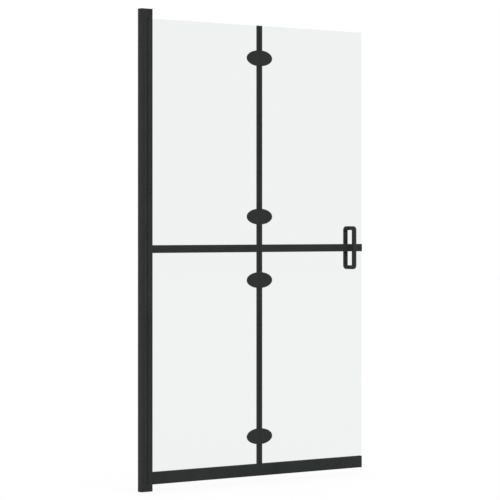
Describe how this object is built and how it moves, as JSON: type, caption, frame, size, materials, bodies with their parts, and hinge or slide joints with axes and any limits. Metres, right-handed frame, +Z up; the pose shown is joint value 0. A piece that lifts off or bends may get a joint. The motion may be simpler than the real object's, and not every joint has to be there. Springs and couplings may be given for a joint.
{
  "type": "folding shower screen",
  "caption": "Folding shower screen: frosted glass panes in a slim dark frame, oval glass-to-glass fold hinges, a pivoting wall profile and back-to-back pull handles.",
  "frame": {"origin": "foot of the wall profile, on the wall plane, in the middle of the profile's depth", "axes": "+X from the wall to the free edge, +Y from the room side to the shower side, +Z up"},
  "size_m": [1.1, 0.0764, 1.9],
  "materials": {
    "frame": "satin black",
    "hinge": "satin black",
    "handle": "satin black",
    "plastic": "matt black",
    "rubber": "matt",
    "steel": "brushed",
    "glass": "frosted"
  },
  "bodies": {
    "wall_frame": {"wall_channel": "frame", "channel_cover": "plastic", "wall_seal": "rubber", "top_pivot_block": "plastic", "bottom_pivot_block": "plastic", "pivot_pins": "steel", "block_screws": "steel"},
    "wall_leaf": {"pivot_profile": "frame", "pivot_bushes": "plastic", "profile_gaskets": "rubber", "wall_upper_glass": "glass", "wall_lower_glass": "glass", "wall_mid_bar": "frame", "wall_bar_cap": "plastic", "wall_bottom_rail": "frame", "wall_rail_cap": "plastic", "wall_bar_gaskets": "rubber", "wall_upper_strip": "frame", "wall_lower_strip": "frame", "wall_strip_gaskets": "rubber", "fold_seals": "rubber", "hinge_1_wall_front": "hinge", "hinge_1_wall_back": "hinge", "hinge_2_wall_front": "hinge", "hinge_2_wall_back": "hinge", "hinge_3_wall_front": "hinge", "hinge_3_wall_back": "hinge", "hinge_4_wall_front": "hinge", "hinge_4_wall_back": "hinge", "wall_hinge_gaskets": "rubber", "wall_hinge_screws": "steel", "hinge_pins": "steel"},
    "free_leaf": {"free_upper_glass": "glass", "free_lower_glass": "glass", "free_mid_bar": "frame", "free_bar_caps": "plastic", "free_bottom_rail": "frame", "free_rail_caps": "plastic", "free_bar_gaskets": "rubber", "free_upper_strip": "frame", "free_lower_strip": "frame", "free_strip_gaskets": "rubber", "hinge_1_free_front": "hinge", "hinge_1_free_back": "hinge", "hinge_2_free_front": "hinge", "hinge_2_free_back": "hinge", "hinge_3_free_front": "hinge", "hinge_3_free_back": "hinge", "hinge_4_free_front": "hinge", "hinge_4_free_back": "hinge", "free_hinge_gaskets": "rubber", "free_hinge_screws": "steel", "handle_front": "handle", "handle_back": "handle", "handle_washers": "rubber", "handle_studs": "steel"}
  },
  "joints": [
    {"name": "wall_swing", "type": "hinge", "parent": "wall_frame", "child": "wall_leaf", "pos_m": [0.0345, -0.0075, 0.95], "axis": [0, 0, -1], "range_deg": [0, 90]},
    {"name": "fold", "type": "hinge", "parent": "wall_leaf", "child": "free_leaf", "pos_m": [0.5705, 0.01, 0.95], "axis": [0, 0, 1], "range_deg": [0, 175]}
  ]
}
